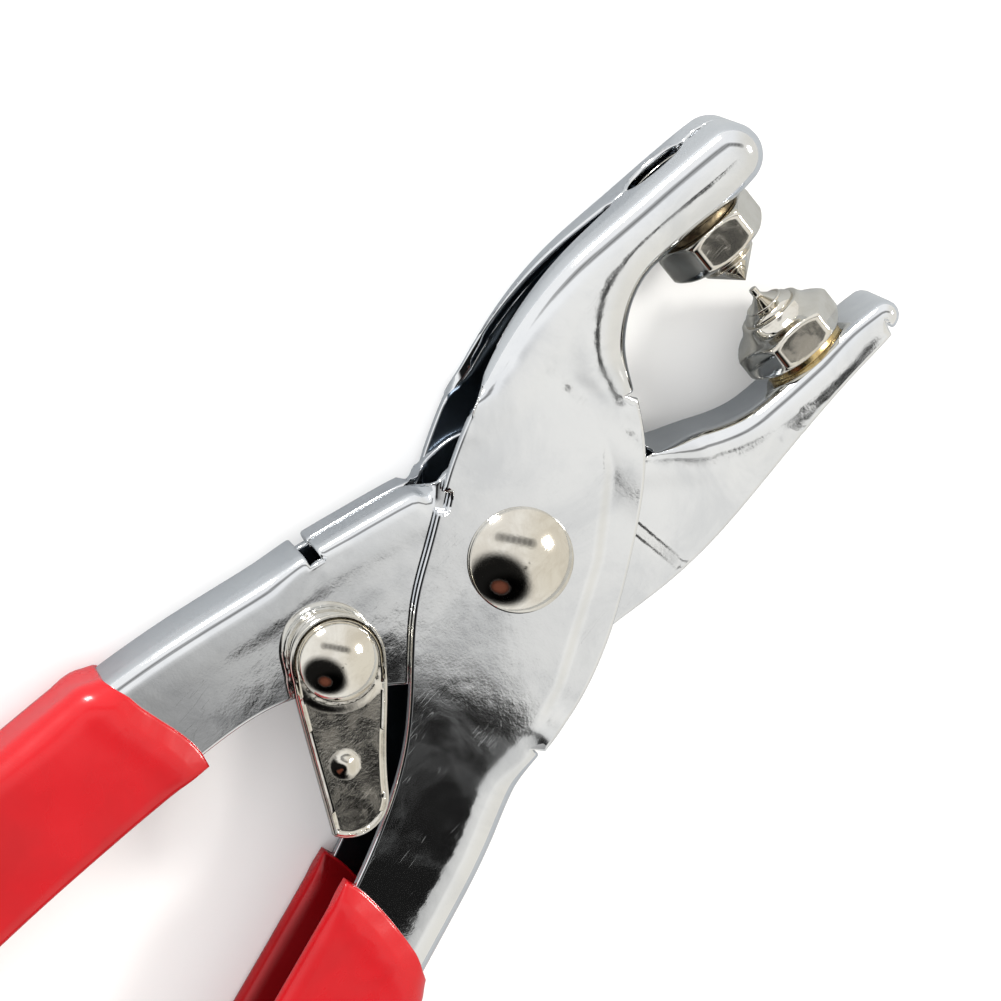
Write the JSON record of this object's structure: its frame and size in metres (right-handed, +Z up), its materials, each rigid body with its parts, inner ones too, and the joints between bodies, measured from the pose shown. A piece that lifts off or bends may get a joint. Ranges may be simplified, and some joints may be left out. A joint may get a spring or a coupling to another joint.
{
  "type": "snap setter pliers",
  "caption": "Hand pliers of two nested pressed-steel channels with dipped grips, a domed pivot, a latch lever and two pointed screw-in dies, for setting snap fasteners.",
  "frame": {"origin": "on the main pivot's axis, in the plane that the pliers rest on when they lie on their back", "axes": "+X along the tool from the grips to the jaws, +Y towards the inner half's handle, +Z up along the pivot, out of the face that carries the latch"},
  "size_m": [0.1617, 0.0628, 0.0176],
  "materials": {
    "chromed_steel": "polished plating over pressed steel, faint orange peel",
    "nickel": "warm nickel plate, satin to polished",
    "red_dip": "glossy dipped plastisol",
    "brass": "plain turned",
    "dark_washer": "darkened steel",
    "spring_steel": "drawn wire"
  },
  "bodies": {
    "outer": {"outer_half": "chromed_steel", "outer_grip": "red_dip", "pivot_rivet": "nickel", "pivot_rear_washer": "nickel", "pivot_sleeve": "nickel", "return_spring": "spring_steel", "upper_die_nut": "nickel", "upper_die_point": "nickel", "upper_die_washer": "dark_washer", "upper_die_rear_nut": "brass"},
    "inner": {"inner_half": "chromed_steel", "inner_grip": "red_dip", "latch_rivet": "nickel", "latch_rear_washer": "nickel", "lower_die_nut": "nickel", "lower_die_point": "nickel", "lower_die_washer": "dark_washer", "lower_die_rear_nut": "brass"},
    "latch": {"latch_lever": "nickel"}
  },
  "joints": [
    {"name": "handles", "type": "hinge", "parent": "outer", "child": "inner", "pos_m": [0, 0, 0.0074], "axis": [0, 0, 1], "range_deg": [-18, 1], "deforming": ["return_spring"]},
    {"name": "latch_swing", "type": "hinge", "parent": "inner", "child": "latch", "pos_m": [-0.0192, 0.0087, 0.0148], "axis": [0, 0, 1], "range_deg": [-70, 60]}
  ]
}
